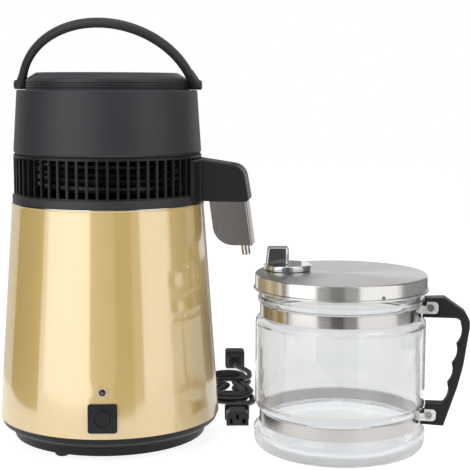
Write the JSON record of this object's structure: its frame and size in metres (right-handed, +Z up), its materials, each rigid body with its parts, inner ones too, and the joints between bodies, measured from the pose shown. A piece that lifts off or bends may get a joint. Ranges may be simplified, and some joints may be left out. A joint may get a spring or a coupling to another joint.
{
  "type": "countertop water distiller",
  "caption": "Tapered gold boiler with a lift-off fan-cooled condenser head and spout, beside a banded glass carafe with handle and lid, and a detached mains cord.",
  "frame": {"origin": "on the counter, under the boiler's axis", "axes": "+Z up, the switch faces -Y, +X to the right towards the carafe"},
  "size_m": [0.4835, 0.4627, 0.4348],
  "materials": {
    "gold_body": "champagne gold satin",
    "charcoal_plastic": "fine matte grain",
    "black_plastic": "satin black",
    "gloss_black": "glossy black",
    "brushed_steel": "brushed stainless",
    "chrome": "bright plated",
    "cast_aluminium": "as cast",
    "rubber": "matte",
    "silicone": "translucent off-white",
    "lamp_red": "dark red lens",
    "clear_glass": "clear pressed glass",
    "white_plastic": "off-white",
    "cord_black": "black flexible sheath"
  },
  "bodies": {
    "boiler": {"outer_shell": "gold_body", "base_ring": "charcoal_plastic", "bottom_cover": "charcoal_plastic", "rubber_feet": "rubber", "base_screws": "brushed_steel", "boiler_tank": "brushed_steel", "tank_floor": "brushed_steel", "tank_rim": "brushed_steel", "heater_plate": "cast_aluminium", "heating_element": "brushed_steel", "thermostats": "black_plastic", "terminal_block": "black_plastic", "switch_bezel": "gloss_black", "switch_body": "charcoal_plastic", "lamp_bezel": "chrome", "lamp_lens": "lamp_red", "power_inlet": "gloss_black", "inlet_pins": "chrome", "cord_connector": "cord_black", "connector_relief": "cord_black", "connector_lead": "cord_black", "cord_hank": "cord_black", "cord_tie": "rubber", "plug_lead": "cord_black", "plug_relief": "cord_black", "mains_plug": "cord_black", "plug_blades": "chrome"},
    "button": {"power_button": "gloss_black"},
    "head": {"head_gasket": "silicone", "steam_dome": "brushed_steel", "head_base": "charcoal_plastic", "vent_grille": "black_plastic", "head_skirt": "charcoal_plastic", "head_cap": "charcoal_plastic", "cap_screws": "brushed_steel", "motor_bracket": "charcoal_plastic", "fan_motor": "brushed_steel", "steam_riser": "brushed_steel", "condenser_coil": "brushed_steel", "drip_cup": "silicone", "drip_tube": "brushed_steel", "outlet_elbow": "silicone", "spout_housing": "black_plastic", "spout_shield": "brushed_steel", "outlet_tube": "brushed_steel", "bail_posts": "charcoal_plastic", "bail_pins": "brushed_steel"},
    "fan": {"fan_rotor": "black_plastic"},
    "bail": {"carry_handle": "charcoal_plastic"},
    "carafe": {"carafe_glass": "clear_glass", "upper_band": "brushed_steel", "lower_band": "brushed_steel", "carafe_handle": "black_plastic", "handle_screws": "brushed_steel"},
    "lid": {"carafe_lid": "brushed_steel", "lid_gasket": "silicone", "filter_cup": "white_plastic"},
    "cap": {"lid_cap": "chrome"}
  },
  "joints": [
    {"name": "button_press", "type": "slide", "parent": "boiler", "child": "button", "axis": [-0.0087, 0.9974, -0.072], "range_m": [0, 0.0025], "stiffness_N_per_m": 800, "springref_m": -0.002},
    {"name": "head_lift", "type": "slide", "parent": "boiler", "child": "head", "axis": [0, 0, 1], "range_m": [0, 0.2]},
    {"name": "fan_spin", "type": "hinge", "parent": "head", "child": "fan", "pos_m": [0, 0, 0.303], "axis": [0, 0, 1], "continuous": true},
    {"name": "bail_swing", "type": "hinge", "parent": "head", "child": "bail", "pos_m": [0, 0, 0.3687], "axis": [0.9903, -0.1392, 0], "range_deg": [-91, 19]},
    {"name": "carafe_lift", "type": "slide", "parent": "boiler", "child": "carafe", "axis": [0.694, -0.1354, 0.7071], "range_m": [0, 0.25]},
    {"name": "lid_lift", "type": "slide", "parent": "carafe", "child": "lid", "axis": [0, 0, 1], "range_m": [0, 0.026]},
    {"name": "cap_turn", "type": "hinge", "parent": "lid", "child": "cap", "pos_m": [0.18596, -0.02632, 0.18], "axis": [0, 0, 1], "range_deg": [0, 90]}
  ]
}
